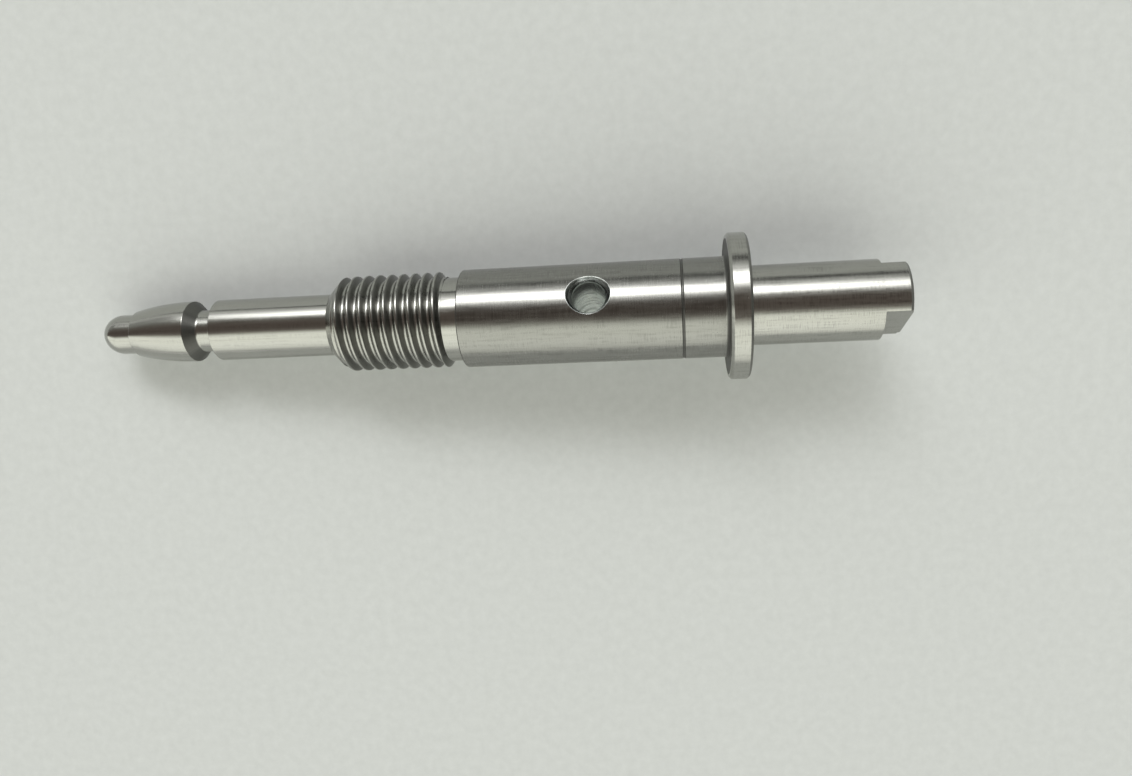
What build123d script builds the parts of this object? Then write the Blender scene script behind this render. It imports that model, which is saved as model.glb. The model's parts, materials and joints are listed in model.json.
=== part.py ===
"""Turned steel shaft with a barbed nose, a threaded neck, a collar and a flatted tail.

The shaft is one piece, turned from bar. Along its axis, from the nose to the tail, it has
a rounded pin, a barb with a neck behind it, a front journal, a thread with a runout groove,
the main body with a cross hole and a scribed line, a collar, and a tail journal that ends
in a tang with two flats.

It is drawn first along the X axis, with the tip of the nose at x = 0. It is then laid down
as it comes to rest: on the edge of the collar and on the first full crest of the thread.
"""

import os
from math import atan2, ceil, cos, degrees, radians, sin, tan

from build123d import *

# ---------------------------------------------------------------- driving dimensions, mm
# Nose pin and barb
pin_diameter = 4.2
pin_length = 3.8
barb_front_diameter = 4.9
barb_lead_length = 0.15
barb_diameter = 6.4
barb_length = 6.4
barb_bulge = 0.2
barb_back_angle = 45.0
neck_diameter = 4.4
neck_length = 1.35
neck_fillet_radius = 0.3

# Front journal
front_diameter = 6.4
front_length = 12.85
front_chamfer_length = 0.55

# Thread, metric fine, right-handed, with a runout groove behind it
thread_diameter = 9.85
thread_pitch = 1.25
thread_crest_width = 0.25
thread_root_width = 0.3
thread_flank_angle = 30.0
thread_length = 12.15
thread_phase = 268.0
entry_step = 0.3
entry_angle = 45.0
exit_angle = 60.0
runout_clearance = 0.03
runout_length = 1.65

# Body
body_diameter = 10.0
body_length = 26.45
body_chamfer = 0.1
line_width = 0.3
line_depth = 0.1
line_to_collar = 4.35

# Cross hole through the body, with a countersink at both ends
hole_diameter = 3.3
hole_to_collar = 13.4
hole_angle = -28.5
countersink_diameter = 4.35
countersink_angle = 60.0

# Collar
collar_diameter = 14.5
collar_length = 2.0
collar_edge_chamfer = 0.25
collar_fillet_radius = 0.4

# Tail journal and tang
tail_diameter = 7.9
tail_length = 12.5
tang_length = 2.5
tang_across_flats = 5.0
tail_chamfer = 0.3

# The turned faces meet themselves along a line at this angle, clear of the hole and the flats
seam_angle = 22.5

# Cutting tools reach this far past the metal that they cut
overcut = 1.0
thread_overcut = 0.04

# ---------------------------------------------------------------- thread form
flank_slope = tan(radians(thread_flank_angle))
thread_radius = thread_diameter / 2
thread_depth = (thread_pitch - thread_crest_width - thread_root_width) / 2 / flank_slope
root_radius = thread_radius - thread_depth
runout_radius = root_radius - runout_clearance

# ---------------------------------------------------------------- stations along the axis
pin_end = pin_length
barb_front = pin_end + barb_lead_length
barb_rear = barb_front + barb_length
neck_start = barb_rear + (barb_diameter - neck_diameter) / 2 / tan(radians(barb_back_angle))
neck_end = neck_start + neck_length
front_start = neck_end + front_chamfer_length
front_end = front_start + front_length
entry_foot_radius = front_diameter / 2 + entry_step
entry_slope = tan(radians(entry_angle))
entry_end = front_end + (thread_radius - entry_foot_radius) / entry_slope
groove_start = front_end - thread_pitch
thread_end = front_end + thread_length
exit_slope = tan(radians(exit_angle))
exit_start = thread_end - (thread_radius - runout_radius) / exit_slope
body_start = thread_end + runout_length
collar_start = body_start + body_length
collar_end = collar_start + collar_length
line_centre = collar_start - line_to_collar
hole_centre = collar_start - hole_to_collar
tang_start = collar_end + tail_length
tail_end = tang_start + tang_length


def turned_blank():
    """Revolve the turned outline, with the thread still a plain cylinder."""
    pin_radius = pin_diameter / 2
    barb_front_radius = barb_front_diameter / 2
    barb_radius = barb_diameter / 2
    front_radius = front_diameter / 2
    body_radius = body_diameter / 2
    collar_radius = collar_diameter / 2
    tail_radius = tail_diameter / 2

    half_way = radians(45)
    dome = ThreePointArc(
        (0, 0),
        (pin_radius * (1 - cos(half_way)), pin_radius * sin(half_way)),
        (pin_radius, pin_radius),
    )
    pin = Polyline(
        (pin_radius, pin_radius),
        (pin_end, pin_radius),
        (barb_front, barb_front_radius),
    )
    barb = ThreePointArc(
        (barb_front, barb_front_radius),
        ((barb_front + barb_rear) / 2, (barb_front_radius + barb_radius) / 2 + barb_bulge),
        (barb_rear, barb_radius),
    )
    # Each corner of the shank: station, radius from the axis, fillet radius
    corners = [
        (neck_start, neck_diameter / 2, neck_fillet_radius),
        (neck_end, neck_diameter / 2, 0),
        (front_start, front_radius, 0),
        (front_end, front_radius, 0),
        (front_end, entry_foot_radius, 0),
        (entry_end, thread_radius, 0),
        (exit_start, thread_radius, 0),
        (thread_end, runout_radius, 0),
        (body_start, runout_radius, 0),
        (body_start, body_radius - body_chamfer, 0),
        (body_start + body_chamfer, body_radius, 0),
        (line_centre - line_width / 2, body_radius, 0),
        (line_centre, body_radius - line_depth, 0),
        (line_centre + line_width / 2, body_radius, 0),
        (collar_start, body_radius, collar_fillet_radius),
        (collar_start, collar_radius - collar_edge_chamfer, 0),
        (collar_start + collar_edge_chamfer, collar_radius, 0),
        (collar_end - collar_edge_chamfer, collar_radius, 0),
        (collar_end, collar_radius - collar_edge_chamfer, 0),
        (collar_end, tail_radius, 0),
        (tail_end - tail_chamfer, tail_radius, 0),
        (tail_end, tail_radius - tail_chamfer, 0),
    ]
    shank = FilletPolyline(
        (barb_rear, barb_radius),
        *[(station, radius) for station, radius, _ in corners],
        (tail_end, 0),
        radius=[fillet_radius for _, _, fillet_radius in corners],
    )
    centre_line = Line((tail_end, 0), (0, 0))
    outline = Plane.XZ * make_face([dome, pin, barb, shank, centre_line])
    return Rot(seam_angle, 0, 0) * revolve(outline, Axis.X)


def thread_zone():
    """The room that the thread fills, between its entry cone and its exit cone, open past the crests."""
    outline = Polyline(
        (front_end, 0),
        (front_end, entry_foot_radius),
        (entry_end + overcut / entry_slope, thread_radius + overcut),
        (exit_start - overcut / exit_slope, thread_radius + overcut),
        (thread_end, runout_radius),
        (thread_end, 0),
        close=True,
    )
    return revolve(Plane.XZ * make_face(outline), Axis.X)


def threaded_rod():
    """A rod that is longer than the thread, with the groove between the crests cut in it."""
    rod = Cylinder(
        thread_radius,
        thread_length + 4 * thread_pitch,
        align=(Align.CENTER, Align.CENTER, Align.MIN),
    )
    top_radius = thread_radius + thread_overcut
    root_half_width = thread_root_width / 2
    top_half_width = root_half_width + (top_radius - root_radius) * flank_slope
    section = Polyline(
        (root_radius, -root_half_width),
        (top_radius, -top_half_width),
        (top_radius, top_half_width),
        (root_radius, root_half_width),
        close=True,
    )
    helix = Helix(thread_pitch, thread_length + 2 * thread_pitch, root_radius)
    groove = sweep(Plane.XZ * make_face(section), path=helix, is_frenet=True)
    grooved = rod - Pos(0, 0, thread_pitch) * groove
    return Pos(groove_start - thread_pitch, 0, 0) * Rot(thread_phase, 90, 0) * grooved


def cross_hole():
    """The hole with its two countersinks, as a solid to cut, on the radial line of the hole."""
    body_radius = body_diameter / 2
    sink_slope = tan(radians(countersink_angle / 2))
    sink_depth = (countersink_diameter - hole_diameter) / 2 / sink_slope
    reach = body_radius + overcut
    drill = Cylinder(hole_diameter / 2, 2 * reach)
    sink = Cone(
        hole_diameter / 2,
        countersink_diameter / 2 + overcut * sink_slope,
        sink_depth + overcut,
        align=(Align.CENTER, Align.CENTER, Align.MIN),
    )
    sink_foot = body_radius - sink_depth
    cutter = drill + Pos(0, 0, sink_foot) * sink + Rot(180, 0, 0) * Pos(0, 0, sink_foot) * sink
    return Pos(hole_centre, 0, 0) * Rot(hole_angle, 0, 0) * cutter


def tang_cuts():
    """Two blocks that cut the flats of the tang, parallel to the hole."""
    side = tail_diameter + 2 * overcut
    block = Box(tang_length + overcut, side, side, align=(Align.MIN, Align.MIN, Align.CENTER))
    upper = Pos(tang_start, tang_across_flats / 2, 0) * block
    lower = Rot(180, 0, 0) * upper
    return Rot(hole_angle, 0, 0) * (upper + lower)


def resting_tilt():
    """Angle of the axis when the collar edge and the first full crest touch one plane."""
    groove_below = groove_start - thread_pitch * thread_phase / 360
    crest_below = groove_below + (thread_pitch - thread_crest_width) / 2
    turns = ceil((entry_end - crest_below) / thread_pitch)
    run = collar_start + collar_edge_chamfer - crest_below - turns * thread_pitch
    rise = collar_diameter / 2 - thread_radius
    return degrees(atan2(rise, run))


zone = thread_zone()
threaded = (turned_blank() - zone) + (threaded_rod() & zone)
shaft = threaded - cross_hole() - tang_cuts()
tilted = Rot(0, -resting_tilt(), 0) * shaft
box = tilted.bounding_box()
turned_shaft = Pos(-box.center().X, -box.center().Y, -box.min.Z) * tilted

os.makedirs("parts", exist_ok=True)
export_step(turned_shaft, "parts/turned_shaft.step")
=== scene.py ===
"""Looks of the turned steel shaft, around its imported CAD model.

The shaft is one mesh, worked out in its own axes in millimetres (x along the axis from the
tip of the nose, an angle about the axis, a radius), then laid where the CAD shaft lies.
Every surface of it is a grid of points; neighbours share their border points and are welded.
"""

import json
from math import acos, atan2, ceil, pi, radians, sin, tan

import bmesh
import bpy
import numpy as np
from mathutils import Matrix, Vector


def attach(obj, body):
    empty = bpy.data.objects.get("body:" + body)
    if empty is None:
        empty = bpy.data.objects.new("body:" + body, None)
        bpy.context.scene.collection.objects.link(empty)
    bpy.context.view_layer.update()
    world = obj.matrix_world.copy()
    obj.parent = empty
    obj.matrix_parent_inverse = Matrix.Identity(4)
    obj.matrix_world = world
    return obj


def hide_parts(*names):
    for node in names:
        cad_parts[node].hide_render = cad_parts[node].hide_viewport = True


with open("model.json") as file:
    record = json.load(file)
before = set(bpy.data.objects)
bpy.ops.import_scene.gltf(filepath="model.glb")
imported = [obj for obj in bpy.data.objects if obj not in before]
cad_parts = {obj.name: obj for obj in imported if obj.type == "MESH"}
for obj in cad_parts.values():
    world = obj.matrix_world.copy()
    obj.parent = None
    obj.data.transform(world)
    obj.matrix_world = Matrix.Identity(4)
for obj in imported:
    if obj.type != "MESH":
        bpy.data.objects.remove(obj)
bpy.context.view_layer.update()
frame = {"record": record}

MM = 0.001

# ------------------------------------------------------------ sizes of the shaft, mm and degrees
PIN_RADIUS = 2.1
PIN_END = 3.8
BARB_FRONT = 3.95
BARB_FRONT_RADIUS = 2.45
BARB_REAR = 10.35
BARB_RADIUS = 3.2
BARB_BULGE = 0.2
NECK_START = 11.35
NECK_END = 12.7
NECK_RADIUS = 2.2
NECK_FILLET = 0.3
FRONT_START = 13.25
FRONT_RADIUS = 3.2
FRONT_END = 26.1
ENTRY_FOOT_RADIUS = 3.5
ENTRY_RING = 26.4
THREAD_RADIUS = 4.925
THREAD_DEPTH = 0.606
THREAD_PITCH = 1.25
THREAD_CREST = 0.25
THREAD_FLANK = 30.0
THREAD_PHASE = 268.0
THREAD_ROUNDING = 0.2
THREAD_END = 38.25
EXIT_ANGLE = 60.0
RUNOUT_RADIUS = 4.289
BODY_START = 39.9
BODY_RADIUS = 5.0
BODY_CHAMFER = 0.1
SHOULDER_MIDDLE = BODY_RADIUS - 0.4
LINE_CENTRE = 62.0
LINE_WIDTH = 0.3
LINE_DEPTH = 0.1
HOLE_CENTRE = 52.95
HOLE_RADIUS = 1.65
HOLE_ANGLE = -28.5
SINK_RADIUS = 2.175
SINK_HALF_ANGLE = 30.0
COLLAR_START = 66.35
COLLAR_END = 68.35
COLLAR_RADIUS = 7.25
COLLAR_CHAMFER = 0.25
COLLAR_FILLET = 0.4
COLLAR_FACE_END = COLLAR_RADIUS - 2 * COLLAR_CHAMFER
TAIL_RADIUS = 3.95
TAIL_CHAMFER = 0.3
TANG_START = 80.85
TANG_HALF = 2.5
TAIL_END = 83.35

# ------------------------------------------------------------ fineness of the mesh
COLUMNS = 192            # steps round the shaft
ARC_STEP = 15.0          # degrees, on a rounded corner
HOLD = 0.03              # mm, from an arc's end to the point that holds its straight side
DOME_POINTS = 13
BARB_POINTS = 25
PROFILE_SAMPLES = 500    # of one pitch of the thread's outline
NODES_PER_PITCH = 20
PATCH_REACH = 3.2        # mm, from the hole's axis to the two rings that bound its patch
SIDE_STEPS = 24          # along the patch
WALL_ROWS = 25           # from the patch's border to the countersink's rim
WALL_CROWDING = 1.6      # above 1, the rows crowd towards the rim
BORE_ROWS = 14
FLAT_ROWS = 8            # down the step behind a flat
END_RINGS = 10
EDGE = 0.05              # mm, width of the softened edges at the hole's rims and the flats' steps
WELD = 2e-7              # m
SHARP = 32.0             # degrees between two faces, from which their edge isn't shaded smooth

# Lengths along the feed are held in the UV map called lathe, in units of this many mm
FEED_UNIT = 100.0

# Finishes of the steel, in the order of the material slots
TURNED, THREADED, GROUND, TUMBLED, DRILLED = 0, 1, 2, 3, 4


# ============================================================ surfaces
def place(x, angle, radius):
    """Points at station x, at an angle and a radius: (x, -r sin a, r cos a).

    The angle is in degrees, from +Z towards -Y.
    """
    turn = np.radians(angle)
    x, turn, radius = np.broadcast_arrays(x, turn, radius)
    return np.stack([x, -radius * np.sin(turn), radius * np.cos(turn)], axis=-1)


def surface(points, feed, turn):
    """A grid of points, each with the length along the tool's feed (mm) and the share of a turn."""
    feed, turn = (np.broadcast_to(value, points.shape[:2]) for value in (feed, turn))
    return points, feed, turn


def running_length(points):
    """Length of the line through the points, from the first one to each."""
    steps = np.linalg.norm(np.diff(points, axis=0), axis=-1)
    return np.concatenate([[0], np.cumsum(steps)])


def rounded(corners):
    """Outline through corners (station, radius, edge radius), in mm.

    A corner with an edge radius becomes an arc tangent to both sides, in steps of ARC_STEP,
    with one more point HOLD outside each end of it, so that the long sides stay straight.
    """
    line = [np.array(corners[0][:2], float)]
    for before, here, after in zip(corners, corners[1:], corners[2:]):
        corner = np.array(here[:2], float)
        back, ahead = (np.array(other[:2], float) - corner for other in (before, after))
        back, ahead = back / np.linalg.norm(back), ahead / np.linalg.norm(ahead)
        edge = here[2]
        if edge == 0:
            line.append(corner)
            continue
        half = acos(np.clip(back @ ahead, -1, 1)) / 2
        reach = edge / tan(half)
        middle = (back + ahead) / np.linalg.norm(back + ahead)
        centre = corner + middle * edge / sin(half)
        start, end = corner + back * reach, corner + ahead * reach
        first, last = (atan2(*(point - centre)[::-1]) for point in (start, end))
        sweep = (last - first + pi) % (2 * pi) - pi
        steps = max(2, ceil(abs(sweep) / radians(ARC_STEP)))
        turns = first + sweep * np.linspace(0, 1, steps + 1)
        arc = centre + edge * np.stack([np.cos(turns), np.sin(turns)], axis=-1)
        line += [start + back * HOLD, *arc, end + ahead * HOLD]
    line.append(np.array(corners[-1][:2], float))
    return np.array(line)


def bowed(first, last, bulge, count):
    """Points of the shallow curve from first to last whose middle stands out by bulge.

    At share t of the way it stands out from the straight line by 4 bulge t (1 - t).
    """
    share = np.linspace(0, 1, count)[:, None]
    first, last = np.array(first, float), np.array(last, float)
    out = np.array([first[1] - last[1], last[0] - first[0]])
    out /= np.linalg.norm(out)
    return first + (last - first) * share + out * bulge * 4 * share * (1 - share)


def columns():
    """Angles of the lines along the shaft, in equal steps from the hole; the last is the first."""
    return HOLE_ANGLE + np.linspace(0, 360, COLUMNS + 1)


def turned(outline):
    """Surface of revolution: each outline point (station, radius) becomes a ring."""
    angles = columns()
    points = place(outline[:, :1], angles[None, :], outline[:, 1:])
    feed = outline[0, 0] + running_length(outline)
    return surface(points, feed[:, None], (angles / 360)[None, :])


def nose_outline():
    """Half-ball tip, pin, bowed barb, back cone, neck, front journal and the thread's step."""
    swing = np.radians(np.linspace(0, 90, DOME_POINTS))
    dome = PIN_RADIUS * np.stack([1 - np.cos(swing), np.sin(swing)], axis=-1)
    front, rear = (BARB_FRONT, BARB_FRONT_RADIUS), (BARB_REAR, BARB_RADIUS)
    side = bowed(front, rear, BARB_BULGE, BARB_POINTS)
    front_room, rear_room = 0.25, 0.2  # mm, for the arcs at the barb's two corners
    side = side[side[:, 0] > BARB_FRONT + front_room]
    side = side[side[:, 0] < BARB_REAR - rear_room]
    pin = rounded([
        (PIN_RADIUS + HOLD, PIN_RADIUS, 0),
        (PIN_END, PIN_RADIUS, 0.1),
        (BARB_FRONT, BARB_FRONT_RADIUS, 0.1),
        (*side[0], 0),
    ])
    rest = rounded([
        (*side[-1], 0),
        (BARB_REAR, BARB_RADIUS, 0.07),
        (NECK_START, NECK_RADIUS, NECK_FILLET),
        (NECK_END, NECK_RADIUS, 0.06),
        (FRONT_START, FRONT_RADIUS, 0.08),
        (FRONT_END, FRONT_RADIUS, 0.08),
        (FRONT_END, ENTRY_FOOT_RADIUS, 0.15),
        (ENTRY_RING, ENTRY_FOOT_RADIUS + ENTRY_RING - FRONT_END, 0),
    ])
    return np.concatenate([dome, pin, side[1:-1], rest])


def thread_radius(x, angle):
    """Radius of the thread: a crest flat, two flanks and a root flat that repeat each pitch.

    The repeating outline is averaged over THREAD_ROUNDING, which rounds its corners as a worn
    insert leaves them. A cone cuts it off at each end, with a soft minimum: the one at its
    start rises at 45 degrees, the one at its end falls at EXIT_ANGLE.
    """
    t = np.linspace(0, THREAD_PITCH, PROFILE_SAMPLES, endpoint=False)
    from_crest = np.minimum(t, THREAD_PITCH - t)
    flank_depth = (from_crest - THREAD_CREST / 2) / tan(radians(THREAD_FLANK))
    depth = np.clip(flank_depth, 0, THREAD_DEPTH)
    span = int(round(THREAD_ROUNDING / THREAD_PITCH * len(t)))
    window = np.ones(span) / span
    wrapped = np.concatenate([depth[-span:], depth, depth[:span]])
    smooth = np.convolve(wrapped, window, mode="same")[span:-span]
    groove = FRONT_END - THREAD_PITCH + THREAD_PITCH * (angle - 180 - THREAD_PHASE) / 360
    crest = groove + THREAD_PITCH / 2
    here = (x - crest) % THREAD_PITCH
    profile = THREAD_RADIUS - np.interp(here, t, smooth, period=THREAD_PITCH)
    start_cone = ENTRY_FOOT_RADIUS + x - FRONT_END
    end_cone = RUNOUT_RADIUS + (THREAD_END - x) * tan(radians(EXIT_ANGLE))
    cone = np.minimum(start_cone, end_cone)
    softness = 0.015  # mm
    lower, gap = np.minimum(profile, cone), np.abs(profile - cone)
    return lower - softness * np.log1p(np.exp(-gap / softness))


def thread_grid():
    """Rows that climb one pitch per turn, so that the crests run along them.

    x is held between the thread's two end rings.
    """
    angles = columns()
    climb = THREAD_PITCH * (angles - angles[0]) / 360
    turns = ceil((THREAD_END - ENTRY_RING) / THREAD_PITCH) + 1
    steps = np.arange(turns * NODES_PER_PITCH + 1)
    rows = ENTRY_RING - THREAD_PITCH + THREAD_PITCH * steps / NODES_PER_PITCH
    x = np.clip(rows[:, None] + climb[None, :], ENTRY_RING, THREAD_END)
    radius = thread_radius(x, angles[None, :])
    radius = np.where(x <= ENTRY_RING, ENTRY_FOOT_RADIUS + ENTRY_RING - FRONT_END, radius)
    radius = np.where(x >= THREAD_END, RUNOUT_RADIUS, radius)
    return surface(place(x, angles[None, :], radius), x, (angles / 360)[None, :])


def runout_outline():
    """Runout groove behind the thread, up to the middle of the body's shoulder."""
    return rounded([
        (THREAD_END, RUNOUT_RADIUS, 0),
        (BODY_START, RUNOUT_RADIUS, 0.08),
        (BODY_START, SHOULDER_MIDDLE, 0),
    ])


def body_front_outline():
    """Shoulder with its small chamfer, and the body up to the ring before the hole."""
    return rounded([
        (BODY_START, SHOULDER_MIDDLE, 0),
        (BODY_START, BODY_RADIUS - BODY_CHAMFER, 0.02),
        (BODY_START + BODY_CHAMFER, BODY_RADIUS, 0.04),
        (HOLE_CENTRE - PATCH_REACH, BODY_RADIUS, 0),
    ])


def body_rear_outline():
    """Body after the hole, with the scribed line, the fillet and most of the collar's front."""
    half = LINE_WIDTH / 2
    return rounded([
        (HOLE_CENTRE + PATCH_REACH, BODY_RADIUS, 0),
        (LINE_CENTRE - half, BODY_RADIUS, 0.02),
        (LINE_CENTRE, BODY_RADIUS - LINE_DEPTH, 0.03),
        (LINE_CENTRE + half, BODY_RADIUS, 0.02),
        (COLLAR_START, BODY_RADIUS, COLLAR_FILLET),
        (COLLAR_START, COLLAR_FACE_END, 0),
    ])


def collar_outline():
    """Rim of the collar with its edge chamfers, its back, and the tail up to the flats."""
    return rounded([
        (COLLAR_START, COLLAR_FACE_END, 0),
        (COLLAR_START, COLLAR_RADIUS - COLLAR_CHAMFER, 0.05),
        (COLLAR_START + COLLAR_CHAMFER, COLLAR_RADIUS, 0.05),
        (COLLAR_END - COLLAR_CHAMFER, COLLAR_RADIUS, 0.05),
        (COLLAR_END, COLLAR_RADIUS - COLLAR_CHAMFER, 0.05),
        (COLLAR_END, TAIL_RADIUS, 0.08),
        (TANG_START - EDGE - HOLD, TAIL_RADIUS, 0),
    ])


def tang_grid():
    """End of the tail: radius = min(turned radius, max(flat's distance / |cos|, level of the wall)).

    The wall's level falls from the tail's radius to the flats' distance at one station, which
    makes the step behind each flat; the last rows close the end face down to the axis.
    """
    levels = [
        (TANG_START - EDGE - HOLD, TAIL_RADIUS),
        (TANG_START - EDGE, TAIL_RADIUS),
        (TANG_START - 0.3 * EDGE, TAIL_RADIUS - 0.24 * EDGE),
    ]
    down_the_wall = np.linspace(TAIL_RADIUS - EDGE, TANG_HALF, FLAT_ROWS)
    levels += [(TANG_START, level) for level in down_the_wall]
    wall_x, wall_level = np.array(levels).T
    end = rounded([
        (TANG_START + 2 * EDGE, TAIL_RADIUS, 0),
        (TAIL_END - TAIL_CHAMFER, TAIL_RADIUS, 0.05),
        (TAIL_END, TAIL_RADIUS - TAIL_CHAMFER, 0.04),
        (TAIL_END, 0, 0),
    ])
    ring_radii = np.linspace(end[-2, 1], 0, END_RINGS)[1:]
    end_rings = np.stack([np.full(ring_radii.shape, TAIL_END), ring_radii], axis=-1)
    end = np.concatenate([end[:-1], end_rings])
    x = np.concatenate([wall_x, end[:, 0]])
    turned_radius = np.concatenate([np.full(wall_x.shape, TAIL_RADIUS), end[:, 1]])
    level = np.concatenate([wall_level, np.zeros(len(end))])
    angles = columns()
    facing = np.abs(np.sin(np.radians(angles - HOLE_ANGLE)))
    least_facing = 0.05  # keeps the division finite where the angle runs along the flats
    flat = TANG_HALF / np.maximum(facing, least_facing)
    radius = np.minimum(turned_radius[:, None], np.maximum(flat[None, :], level[:, None]))
    feed = TANG_START + running_length(np.stack([x, turned_radius], axis=-1))
    points = place(x[:, None], angles[None, :], radius)
    return surface(points, feed[:, None], (angles / 360)[None, :])


def rim_height(bearing, sink_radius):
    """Height along the hole's axis where its countersink meets the body, at each bearing.

    The cone has radius c + k h at height h, and the body R^2 = (radius sin b)^2 + h^2,
    which gives a quadratic in h.
    """
    k = tan(radians(SINK_HALF_ANGLE))
    c = sink_radius - BODY_RADIUS * k
    s2 = np.sin(bearing) ** 2
    a = 1 + k * k * s2
    root = np.sqrt((c * k * s2) ** 2 - a * (c * c * s2 - BODY_RADIUS**2))
    return (-c * k * s2 + root) / a


def hole_side(side):
    """Half of the body's wall round one mouth of the cross hole, with the mouth and half the bore.

    Lines run from the border of the unrolled half wall (length by half a turn) straight to the
    countersink's rim, then down the countersink and the bore to the axis of the shaft.
    side is 0 for the upper mouth and 180 for the far one. The feed runs right through the
    bore, from the upper mouth.
    """
    quarter = COLUMNS // 4
    sweep = np.linspace(-90, 90, 2 * quarter + 1)
    along = np.linspace(-PATCH_REACH, PATCH_REACH, SIDE_STEPS + 1)
    edge_x = np.concatenate([
        np.full(2 * quarter, PATCH_REACH),
        along[::-1][:-1],
        np.full(2 * quarter, -PATCH_REACH),
        along,
    ])
    edge_angle = np.concatenate([
        sweep[:-1],
        np.full(SIDE_STEPS, 90.0),
        sweep[::-1][:-1],
        np.full(SIDE_STEPS + 1, -90.0),
    ])
    bearing = np.arctan2(np.radians(edge_angle) * BODY_RADIUS, edge_x)
    k = tan(radians(SINK_HALF_ANGLE))

    def cone_point(height, sink_radius):
        """Offset along the shaft, offset across it and height, on the countersink's cone."""
        radius = sink_radius + (height - BODY_RADIUS) * k
        return radius * np.cos(bearing), radius * np.sin(bearing), height

    outer = cone_point(rim_height(bearing, SINK_RADIUS + EDGE), SINK_RADIUS + EDGE)
    rim_x, rim_angle = outer[0], np.degrees(np.arcsin(outer[1] / BODY_RADIUS))
    share = (np.linspace(0, 1, WALL_ROWS) ** WALL_CROWDING)[::-1, None]
    wall_x = rim_x + (edge_x - rim_x) * share
    wall_angle = rim_angle + (edge_angle - rim_angle) * share
    wall = place(HOLE_CENTRE + wall_x, wall_angle + HOLE_ANGLE + side, BODY_RADIUS)

    # The softened rim: its middle row is lifted a little, so that it is round
    top = rim_height(bearing, SINK_RADIUS) - 0.8 * EDGE
    inner_rim = cone_point(top, SINK_RADIUS)
    lifts = 0, 0, 0.24 * EDGE
    rim_middle = [(p + q) / 2 + lift for p, q, lift in zip(outer, inner_rim, lifts)]
    foot = BODY_RADIUS - (SINK_RADIUS - HOLE_RADIUS) / k
    rows = [rim_middle, inner_rim, cone_point(top - HOLD, SINK_RADIUS)]
    for part in (0.33, 0.66, 1.0):
        rows.append(cone_point(top + (foot + HOLD - top) * part, SINK_RADIUS))
    depths = np.concatenate([[foot - HOLD], np.linspace(foot - 3 * EDGE, 0, BORE_ROWS)])
    circle = HOLE_RADIUS * np.cos(bearing), HOLE_RADIUS * np.sin(bearing)
    rows += [(*circle, np.full(bearing.shape, depth)) for depth in depths]
    inside = np.array([np.stack(np.broadcast_arrays(*row), axis=-1) for row in rows])
    offset, across, height = np.moveaxis(inside, -1, 0)
    radius = np.hypot(across, height)
    angle = np.degrees(np.arctan2(across, height))
    inner = place(HOLE_CENTRE + offset, angle + HOLE_ANGLE + side, radius)

    wall_turn = (wall_angle + HOLE_ANGLE + side) / 360
    body = surface(wall, HOLE_CENTRE + wall_x, wall_turn)
    mouth_points = np.concatenate([wall[-1:], inner])
    depth_feed = running_length(mouth_points[:, 0])
    if side == 180:
        depth_feed = 2 * depth_feed[-1] - depth_feed
    round_turn = np.unwrap(bearing) / (2 * pi)
    mouth = surface(mouth_points, depth_feed[:, None], round_turn[None, :])
    return [body, mouth]


def laid_down(points):
    """Points in the shaft's own axes (mm), moved to where the CAD shaft lies (m).

    The main journal's mount gives the direction of the axis and the middle of the journal.
    """
    journal = next(m for m in frame["record"]["mounts"] if m["name"] == "main_journal")
    towards_nose, middle = np.array(journal["axis"]), np.array(journal["pos_m"])
    along = -towards_nose / np.linalg.norm(towards_nose)
    up = np.array([-along[2], 0, along[0]])
    journal_middle = (BODY_START + BODY_CHAMFER + COLLAR_START - COLLAR_FILLET) / 2
    local = points - (journal_middle, 0, 0)
    return middle + MM * (local[:, :1] * along + local[:, 1:2] * (0, 1, 0) + local[:, 2:] * up)


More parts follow.
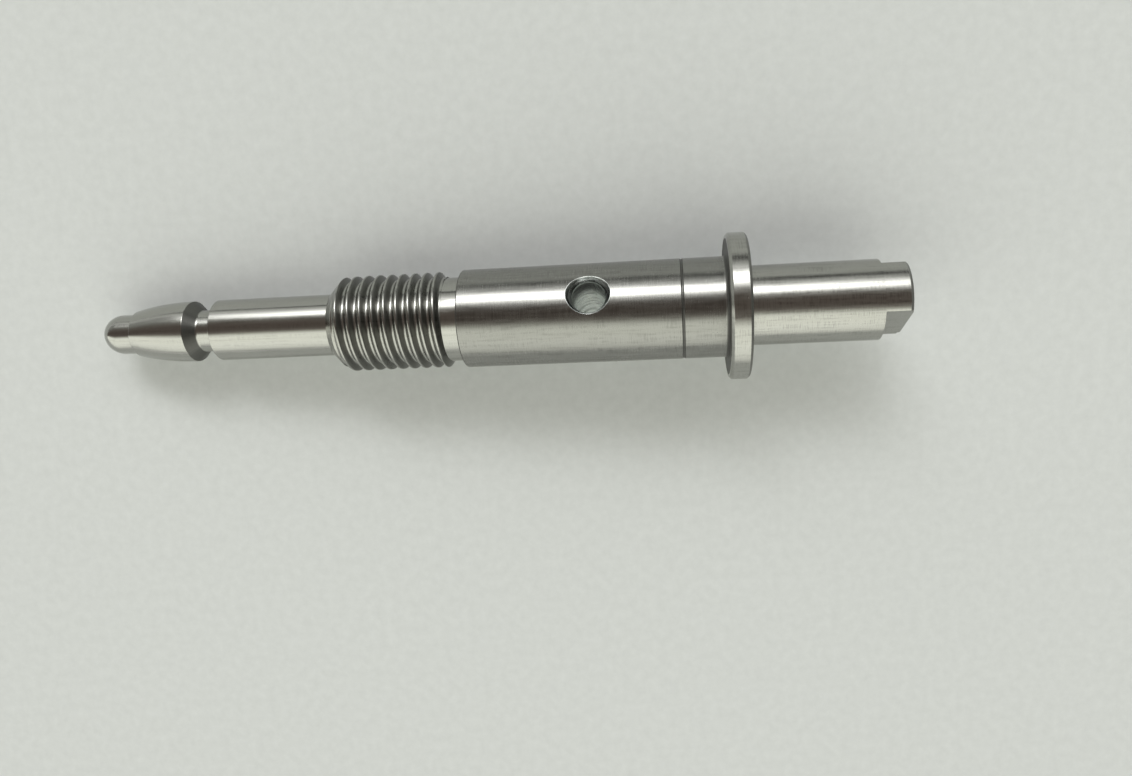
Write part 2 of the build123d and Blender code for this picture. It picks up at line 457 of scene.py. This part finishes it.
def build_shaft():
    """Join all the grids into one closed mesh and weld their shared borders."""
    upper_wall, upper_mouth = hole_side(0)
    far_wall, far_mouth = hole_side(180)
    grids = [
        (TURNED, turned(nose_outline())),
        (THREADED, thread_grid()),
        (TURNED, turned(runout_outline())),
        (GROUND, turned(body_front_outline())),
        (GROUND, upper_wall),
        (DRILLED, upper_mouth),
        (GROUND, far_wall),
        (DRILLED, far_mouth),
        (GROUND, turned(body_rear_outline())),
        (TUMBLED, turned(collar_outline())),
        (TUMBLED, tang_grid()),
    ]
    points, feeds, turns, quads, finishes, base = [], [], [], [], [], 0
    for finish, (grid, feed, turn) in grids:
        rows, across = grid.shape[:2]
        index = base + np.arange(rows * across).reshape(rows, across)
        corners = index[:-1, :-1], index[1:, :-1], index[1:, 1:], index[:-1, 1:]
        quads.append(np.stack(corners, axis=-1).reshape(-1, 4))
        points.append(grid.reshape(-1, 3))
        feeds.append(feed.reshape(-1))
        turns.append(turn.reshape(-1))
        finishes += [finish] * ((rows - 1) * (across - 1))
        base += rows * across
    points, feeds, turns, quads = map(np.concatenate, (points, feeds, turns, quads))

    mesh = bpy.data.meshes.new("turned_shaft_surface")
    mesh.from_pydata(laid_down(points).tolist(), [], quads.tolist())
    mesh.polygons.foreach_set("material_index", finishes)
    layer = mesh.uv_layers.new(name="lathe")
    corner = np.zeros(len(mesh.loops), np.int32)
    mesh.loops.foreach_get("vertex_index", corner)
    lathe = np.stack([feeds[corner] / FEED_UNIT, turns[corner]], axis=-1)
    layer.data.foreach_set("uv", lathe.ravel())
    work = bmesh.new()
    work.from_mesh(mesh)
    bmesh.ops.remove_doubles(work, verts=work.verts, dist=WELD)
    bmesh.ops.dissolve_degenerate(work, edges=work.edges, dist=WELD / 2)
    bmesh.ops.recalc_face_normals(work, faces=work.faces)
    open_edges = sum(1 for edge in work.edges if len(edge.link_faces) != 2)
    print(
        "shaft mesh:", len(work.verts), "points,", len(work.faces), "faces,",
        open_edges, "open edges",
    )
    work.to_mesh(mesh)
    work.free()
    mesh.shade_smooth()
    mesh.set_sharp_from_angle(angle=radians(SHARP))
    return mesh


# ============================================================ materials
def linear(code):
    """sRGB hex to linear colour, opaque."""
    parts = [int(code[i:i + 2], 16) / 255 for i in (1, 3, 5)]
    return [p / 12.92 if p <= 0.04045 else ((p + 0.055) / 1.055) ** 2.4 for p in parts] + [1.0]


def grey(level):
    """Neutral colour of a linear level, opaque."""
    return level, level, level, 1.0


def node(tree, kind, inputs=(), **settings):
    """Add a node.

    inputs gives input sockets, by name or number, another node's output or a value. Settings
    with a capital letter are values of input sockets too, the others the node's own properties.
    """
    made = tree.nodes.new(kind)
    for name, value in settings.items():
        if name[0].isupper():
            made.inputs[name.replace("_", " ")].default_value = value
        else:
            setattr(made, name, value)
    for socket, source in dict(inputs).items():
        if isinstance(source, bpy.types.NodeSocket):
            tree.links.new(source, made.inputs[socket])
        else:
            made.inputs[socket].default_value = source
    return made


def stops(ramp, entries):
    """Set a colour ramp's stops from (place, colour) pairs."""
    ramp.interpolation = "LINEAR"
    while len(ramp.elements) > 1:
        ramp.elements.remove(ramp.elements[-1])
    for i, (where, colour) in enumerate(entries):
        element = ramp.elements[0] if i == 0 else ramp.elements.new(where)
        element.position = where
        element.color = colour


def steel(
    name, tones, roughness_range, anisotropy, painted_shade_side, painted_shade_share, torn_and_shaded_from=0.2, torn_roughness=0.3,
    mark_depth=0.001, rings_per_mm=14.0, rubbed=1.0, bore_shade_shares=((0.0, 1.0),),
):
    """Cut stainless steel, with grain that runs round the shaft.

    The grain keeps bright bands sharp round the shaft and blurs them along it. mark_depth is
    in mm. Faces that look along the shaft, from the slope torn_and_shaded_from on, are rougher by
    torn_roughness, as torn by the cut, and are darkened by painted shade: their colour keeps
    only the share dulled of its brightness. They are the faces towards the tail if
    painted_shade_side is
    MAXIMUM, and those towards both ends if it is ABSOLUTE. rubbed, from 0 to 1, is the weight of
    the rub marks against the tool rings.
    Each entry of cleanness is a length along the feed (0 to 1 for 0 to 5 mm) and the share of
    the brightness that is left there: painted shade that darkens the bore below its mouth.
    """
    material = bpy.data.materials.new(name)
    material.use_nodes = True
    tree = material.node_tree
    tree.nodes.clear()
    lathe = node(tree, "ShaderNodeUVMap", uv_map="lathe").outputs["UV"]
    in_object = node(tree, "ShaderNodeTexCoord").outputs["Object"]
    normal = node(tree, "ShaderNodeNewGeometry").outputs["Normal"]

    # Tool rings: noise that changes along the feed, every 0.07 mm on most finishes, and hardly
    # round the shaft
    rings_at = node(tree, "ShaderNodeMapping", {"Vector": lathe}, Scale=(FEED_UNIT, 1.5, 1.0))
    rings = node(
        tree, "ShaderNodeTexNoise", {"Vector": rings_at.outputs["Vector"]},
        noise_dimensions="2D", Scale=rings_per_mm, Detail=2.0, Roughness=0.6,
    )
    # Rub marks: streaks along the shaft, 3 mm long and 0.3 mm apart on the body
    rubs_at = node(tree, "ShaderNodeMapping", {"Vector": lathe}, Scale=(30.0, 100.0, 1.0))
    rubs = node(
        tree, "ShaderNodeTexNoise", {"Vector": rubs_at.outputs["Vector"]},
        noise_dimensions="2D", Scale=1.0, Detail=3.0, Roughness=0.6,
    )
    ring_marks = node(
        tree, "ShaderNodeMath", {0: rings.outputs["Fac"], 1: 2.0 - rubbed}, operation="MULTIPLY",
    )
    marks = node(
        tree, "ShaderNodeMath",
        {0: rubs.outputs["Fac"], 1: rubbed, 2: ring_marks.outputs["Value"]},
        operation="MULTIPLY_ADD",
    ).outputs["Value"]
    # Handling haze: soft patches about 4 mm across
    haze = node(
        tree, "ShaderNodeTexNoise", {"Vector": in_object},
        Scale=1 / (4 * MM), Detail=3.0, Roughness=0.55,
    )

    # Painted shade: share of the brightness that is left on faces that look along the shaft, and
    # down the bore
    facing = node(tree, "ShaderNodeSeparateXYZ", {"Vector": normal})
    along_shaft = node(
        tree, "ShaderNodeMath", {0: facing.outputs["X"], 1: 0.0}, operation=painted_shade_side,
    )
    facing_shade_share = node(
        tree, "ShaderNodeMapRange", {"Value": along_shaft.outputs["Value"]},
        From_Min=torn_and_shaded_from, From_Max=0.55, To_Min=1.0, To_Max=painted_shade_share,
    ).outputs["Result"]
    feed = node(tree, "ShaderNodeSeparateXYZ", {"Vector": lathe})
    feed_share = node(
        tree, "ShaderNodeMapRange", {"Value": feed.outputs["X"]},
        From_Min=0.0, From_Max=5 / FEED_UNIT, To_Min=0.0, To_Max=1.0,
    )
    bore_shade_ramp = node(tree, "ShaderNodeValToRGB", {"Fac": feed_share.outputs["Result"]})
    stops(bore_shade_ramp.color_ramp, [(at, grey(share)) for at, share in bore_shade_shares])
    painted_shade_left = node(
        tree, "ShaderNodeMath", {0: facing_shade_share, 1: bore_shade_ramp.outputs["Color"]}, operation="MULTIPLY",
    )
    colour = node(tree, "ShaderNodeValToRGB", {"Fac": marks})
    stops(colour.color_ramp, [(0.7, linear(tones[0])), (1.3, linear(tones[1]))])
    seen_colour = node(
        tree, "ShaderNodeVectorMath",
        {0: colour.outputs["Color"], "Scale": painted_shade_left.outputs["Value"]},
        operation="SCALE",
    )

    # Roughness: marks, haze and the torn faces' own
    rough_marks = node(
        tree, "ShaderNodeMapRange", {"Value": marks},
        From_Min=0.6, From_Max=1.4, To_Min=roughness_range[0], To_Max=roughness_range[1],
    )
    rough_haze = node(
        tree, "ShaderNodeMapRange", {"Value": haze.outputs["Fac"]},
        From_Min=0.3, From_Max=0.7, To_Min=-0.02, To_Max=0.03,
    )
    torn = node(
        tree, "ShaderNodeMapRange", {"Value": facing_shade_share},
        From_Min=0.3, From_Max=1.0, To_Min=torn_roughness, To_Max=0.0,
    )
    even_roughness = node(
        tree, "ShaderNodeMath",
        {0: rough_marks.outputs["Result"], 1: rough_haze.outputs["Result"]},
        operation="ADD",
    )
    roughness = node(
        tree, "ShaderNodeMath",
        {0: even_roughness.outputs["Value"], 1: torn.outputs["Result"]},
        operation="ADD",
    )

    bump = node(tree, "ShaderNodeBump", {"Height": marks}, Strength=0.2, Distance=mark_depth * MM)
    along = node(tree, "ShaderNodeTangent", direction_type="UV_MAP", uv_map="lathe")
    metal = node(
        tree, "ShaderNodeBsdfPrincipled",
        {
            "Base Color": seen_colour.outputs["Vector"],
            "Roughness": roughness.outputs["Value"],
            "Normal": bump.outputs["Normal"],
            "Tangent": along.outputs["Tangent"],
        },
        Metallic=1.0, Anisotropic=anisotropy,
    )
    node(tree, "ShaderNodeOutputMaterial", {"Surface": metal.outputs["BSDF"]})
    return material


def shaft_finishes():
    """Finishes of the steel in the order of the material slots, each with what it gives the eye."""
    return [
        # Fine feed: crisp, slightly soft bands
        steel(
            "stainless_steel_turned", ("#9b9b96", "#a5a5a0"), roughness_range=(0.11, 0.18),
            anisotropy=0.7, painted_shade_side="MAXIMUM", painted_shade_share=0.38,
        ),
        # Thread: flanks that face the tail are darkened by painted shade between bright crests
        steel(
            "stainless_steel_threaded", ("#93938e", "#a1a19c"), roughness_range=(0.16, 0.26),
            anisotropy=0.6, painted_shade_side="MAXIMUM", painted_shade_share=0.42, torn_and_shaded_from=0.3, torn_roughness=0.12,
        ),
        # Ground body: darker, with wide, hazy bands
        steel(
            "stainless_steel_ground", ("#7b7b77", "#8c8c88"), roughness_range=(0.19, 0.29),
            anisotropy=0.5, painted_shade_side="ABSOLUTE", painted_shade_share=0.4,
        ),
        # Collar and tail: a fine speckle breaks up the edges of the bands
        steel(
            "stainless_steel_tumbled", ("#8f8f8a", "#a3a39e"), roughness_range=(0.15, 0.26),
            anisotropy=0.55, painted_shade_side="MAXIMUM", painted_shade_share=0.5, torn_and_shaded_from=0.3, torn_roughness=0.2,
            mark_depth=0.004,
        ),
        # Drilled and countersunk: rings round the hole that scatter the light, drawn 0.3 mm
        # apart, as finer ones would not show. The near-white tones are painted light that brightens
        # the bore's deep wall
        steel(
            "stainless_steel_drilled", ("#aeb3b0", "#f2f6f4"), roughness_range=(0.2, 0.34),
            anisotropy=0.5, painted_shade_side="MAXIMUM", painted_shade_share=1.0, torn_roughness=0.0,
            mark_depth=0.012, rings_per_mm=3.0, rubbed=0.15,
            bore_shade_shares=((0.0, 0.6), (0.18, 0.6), (0.22, 0.05), (0.46, 0.1), (0.74, 1.0)),
        ),
    ]


def paper_floor():
    """Uncoated white paper, a little grey and cool, with soft uneven fibre."""
    material = bpy.data.materials.new("paper_uncoated")
    material.use_nodes = True
    tree = material.node_tree
    tree.nodes.clear()
    where = node(tree, "ShaderNodeTexCoord")
    # Clumps of fibre, a little over 1 mm across
    fibre = node(
        tree, "ShaderNodeTexNoise", {"Vector": where.outputs["Object"]},
        Scale=900.0, Detail=4.0, Roughness=0.6,
    )
    colour = node(tree, "ShaderNodeValToRGB", {"Fac": fibre.outputs["Fac"]})
    stops(colour.color_ramp, [(0.25, linear("#c5c8c7")), (0.75, linear("#cdd0cf"))])
    bump = node(
        tree, "ShaderNodeBump", {"Height": fibre.outputs["Fac"]}, Strength=0.2, Distance=0.02 * MM,
    )
    paper = node(
        tree, "ShaderNodeBsdfPrincipled",
        {"Base Color": colour.outputs["Color"], "Normal": bump.outputs["Normal"]},
        Roughness=0.9,
    )
    node(tree, "ShaderNodeOutputMaterial", {"Surface": paper.outputs["BSDF"]})
    return material


# ============================================================ studio
# The tent over the table. A lean is in degrees, from straight up towards -Y.
TENT_START = -94.0
TENT_SPAN = 190.0
BAND_SLANT = 14.0
# The sheet: lean, brightness, tint
SHEET = [
    (-91, 0.24, "#9c9d9a"), (-86, 0.14, "#9c9d9a"), (-83, 0.18, "#9c9d9a"),
    (-77, 0.70, "#a0a19e"), (-71, 0.78, "#a0a19e"), (-64, 0.45, "#9c9d9a"),
    (-49, 0.40, "#9c9d98"), (-37, 0.24, "#a09c94"), (-25, 0.17, "#a69b92"),
    (-13, 0.14, "#a89a90"), (-3, 0.14, "#a89a90"), (5, 0.17, "#a69b92"),
    (11, 0.28, "#a49c93"), (15, 0.55, "#a19e95"), (18, 0.90, "#9f9f97"),
    (22, 1.40, "#9e9f98"), (27, 1.70, "#9e9f98"), (35, 1.80, "#9e9f98"),
    (40, 1.63, "#9e9f98"), (47, 1.74, "#9e9f98"), (61, 1.74, "#9e9f99"),
    (73, 1.58, "#9e9f99"), (82, 1.38, "#9e9f99"), (89, 0.85, "#9d9e9a"),
]
# The sheet's colours are divided by the first in the ramp, which keeps them below 1, and
# multiplied by the second after it
SHEET_DIVISOR = 0.7
SHEET_GAIN = 2.0
# The strip light, and its wider, brighter middle above the body: lean, share of the brightness
STRIP = [
    (-75, 0.0), (-69, 0.12), (-65, 0.35), (-59, 0.8), (-55, 1.0), (-48, 0.95), (-44, 0.45),
    (-39, 0.12), (-33, 0.0),
]
STRIP_GAIN = 2.8
SWELL = [
    (-60, 0.0), (-56, 0.5), (-52, 1.0), (-47, 1.0), (-43, 0.45), (-39, 0.2), (-33, 0.06),
    (-25, 0.0),
]
SWELL_GAIN = 10.0
# Brightness of the dark wall that closes the tail's end, linear
END_WALL = (0.24, 0.24, 0.22, 1.0)


def across_tent(entries):
    """Ramp stops from (lean, colour) pairs."""
    return [((lean - TENT_START) / TENT_SPAN, colour) for lean, colour in entries]


def light_tent():
    """World light: a tent over the table, in bands that run nearly along X.

    The lean of a direction picks the band: a white strip light on the far side, a dark gap
    overhead where the camera hangs, and a wide, nearly white sheet on the near side. The bands
    slant by BAND_SLANT degrees from the tent's middle to either end, the strip light stops
    short of the nose's end, and the tail's end of the tent is closed by a dark wall.
    """
    world = bpy.data.worlds.new("light_tent")
    bpy.context.scene.world = world
    world.use_nodes = True
    tree = world.node_tree
    tree.nodes.clear()
    where = node(tree, "ShaderNodeTexCoord")
    axes = node(tree, "ShaderNodeSeparateXYZ", {"Vector": where.outputs["Generated"]})
    x = axes.outputs["X"]
    near = node(tree, "ShaderNodeMath", {0: axes.outputs["Y"], 1: -1.0}, operation="MULTIPLY")
    straight = node(
        tree, "ShaderNodeMath", {0: near.outputs["Value"], 1: axes.outputs["Z"]},
        operation="ARCTAN2",
    )
    lean = node(
        tree, "ShaderNodeMath", {0: x, 1: -radians(BAND_SLANT), 2: straight.outputs["Value"]},
        operation="MULTIPLY_ADD",
    )
    across = node(
        tree, "ShaderNodeMapRange", {"Value": lean.outputs["Value"]},
        From_Min=radians(TENT_START), From_Max=radians(TENT_START + TENT_SPAN),
        To_Min=0.0, To_Max=1.0,
    ).outputs["Result"]

    sheet = node(tree, "ShaderNodeValToRGB", {"Fac": across})
    stops(sheet.color_ramp, across_tent(
        (angle, [channel * level / SHEET_DIVISOR for channel in linear(tint)[:3]] + [1.0])
        for angle, level, tint in SHEET
    ))
    sheet_glow = node(
        tree, "ShaderNodeVectorMath", {0: sheet.outputs["Color"]},
        operation="SCALE", Scale=SHEET_GAIN,
    )

    strip = node(tree, "ShaderNodeValToRGB", {"Fac": across})
    stops(strip.color_ramp, across_tent((angle, grey(level)) for angle, level in STRIP))
    strip_gain = node(
        tree, "ShaderNodeMapRange", {"Value": x}, interpolation_type="SMOOTHSTEP",
        From_Min=-0.56, From_Max=-0.48, To_Min=0.0, To_Max=STRIP_GAIN,
    )
    strip_glow = node(
        tree, "ShaderNodeMath", {0: strip.outputs["Color"], 1: strip_gain.outputs["Result"]},
        operation="MULTIPLY",
    )

    swell = node(tree, "ShaderNodeValToRGB", {"Fac": across})
    stops(swell.color_ramp, across_tent((angle, grey(level)) for angle, level in SWELL))
    from_swell = node(tree, "ShaderNodeMath", {0: x, 1: 0.15}, operation="ADD")
    distance = node(
        tree, "ShaderNodeMath", {0: from_swell.outputs["Value"]}, operation="ABSOLUTE",
    )
    swell_gain = node(
        tree, "ShaderNodeMapRange", {"Value": distance.outputs["Value"]},
        interpolation_type="SMOOTHSTEP",
        From_Min=0.13, From_Max=0.24, To_Min=SWELL_GAIN, To_Max=0.0,
    )
    lamp_glow = node(
        tree, "ShaderNodeMath",
        {
            0: swell.outputs["Color"],
            1: swell_gain.outputs["Result"],
            2: strip_glow.outputs["Value"],
        },
        operation="MULTIPLY_ADD",
    ).outputs["Value"]
    white_glow = node(
        tree, "ShaderNodeCombineColor", {"Red": lamp_glow, "Green": lamp_glow, "Blue": lamp_glow},
    )
    total = node(
        tree, "ShaderNodeVectorMath",
        {0: sheet_glow.outputs["Vector"], 1: white_glow.outputs["Color"]},
        operation="ADD",
    )

    wall = node(
        tree, "ShaderNodeMapRange", {"Value": x}, interpolation_type="SMOOTHSTEP",
        From_Min=0.5, From_Max=0.75, To_Min=0.0, To_Max=1.0,
    )
    closed = node(
        tree, "ShaderNodeMix",
        {0: wall.outputs["Result"], 6: total.outputs["Vector"], 7: END_WALL},
        data_type="RGBA",
    )
    tent = node(tree, "ShaderNodeBackground", {"Color": closed.outputs[2]}, Strength=1.0)
    backdrop = node(tree, "ShaderNodeBackground", Color=linear("#cfd1ca"), Strength=1.0)
    seen = node(tree, "ShaderNodeLightPath")
    mix = node(
        tree, "ShaderNodeMixShader",
        {
            0: seen.outputs["Is Camera Ray"],
            1: tent.outputs["Background"],
            2: backdrop.outputs["Background"],
        },
    )
    node(tree, "ShaderNodeOutputWorld", {"Surface": mix.outputs["Shader"]})


def lay_floor():
    """Flat sheet of paper, 1.6 m across, under the shaft."""
    half = 0.8
    corners = [(-half, -half, 0), (half, -half, 0), (half, half, 0), (-half, half, 0)]
    mesh = bpy.data.meshes.new("floor_sheet")
    mesh.from_pydata(corners, [], [(0, 1, 2, 3)])
    mesh.materials.append(paper_floor())
    floor = bpy.data.objects.new("floor", mesh)
    bpy.context.scene.collection.objects.link(floor)


def set_camera():
    """Camera above the shaft, leaning a little towards the far side and turned a few degrees."""
    stand = Vector((0.013294, 0.009397, 0.092763))
    right = Vector((0.99704, -0.05886, -0.04944))
    down = Vector((-0.04809, -0.97940, 0.19610))
    look = Vector((-0.05996, -0.19314, -0.97934))
    data = bpy.data.cameras.new("camera")
    data.sensor_fit = "HORIZONTAL"
    data.sensor_width = 36.0
    data.lens = 27.095
    data.clip_start = 0.005
    camera = bpy.data.objects.new("camera", data)
    turn = Matrix((right, -down, -look)).transposed()
    camera.matrix_world = Matrix.Translation(stand) @ turn.to_4x4()
    bpy.context.scene.collection.objects.link(camera)
    bpy.context.scene.camera = camera


shaft = bpy.data.objects.new("shaft", build_shaft())
bpy.context.scene.collection.objects.link(shaft)
for finish in shaft_finishes():
    shaft.data.materials.append(finish)
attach(shaft, "root")
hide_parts("turned_shaft")

light_tent()
lay_floor()
set_camera()
bpy.context.scene.view_settings.view_transform = "Standard"
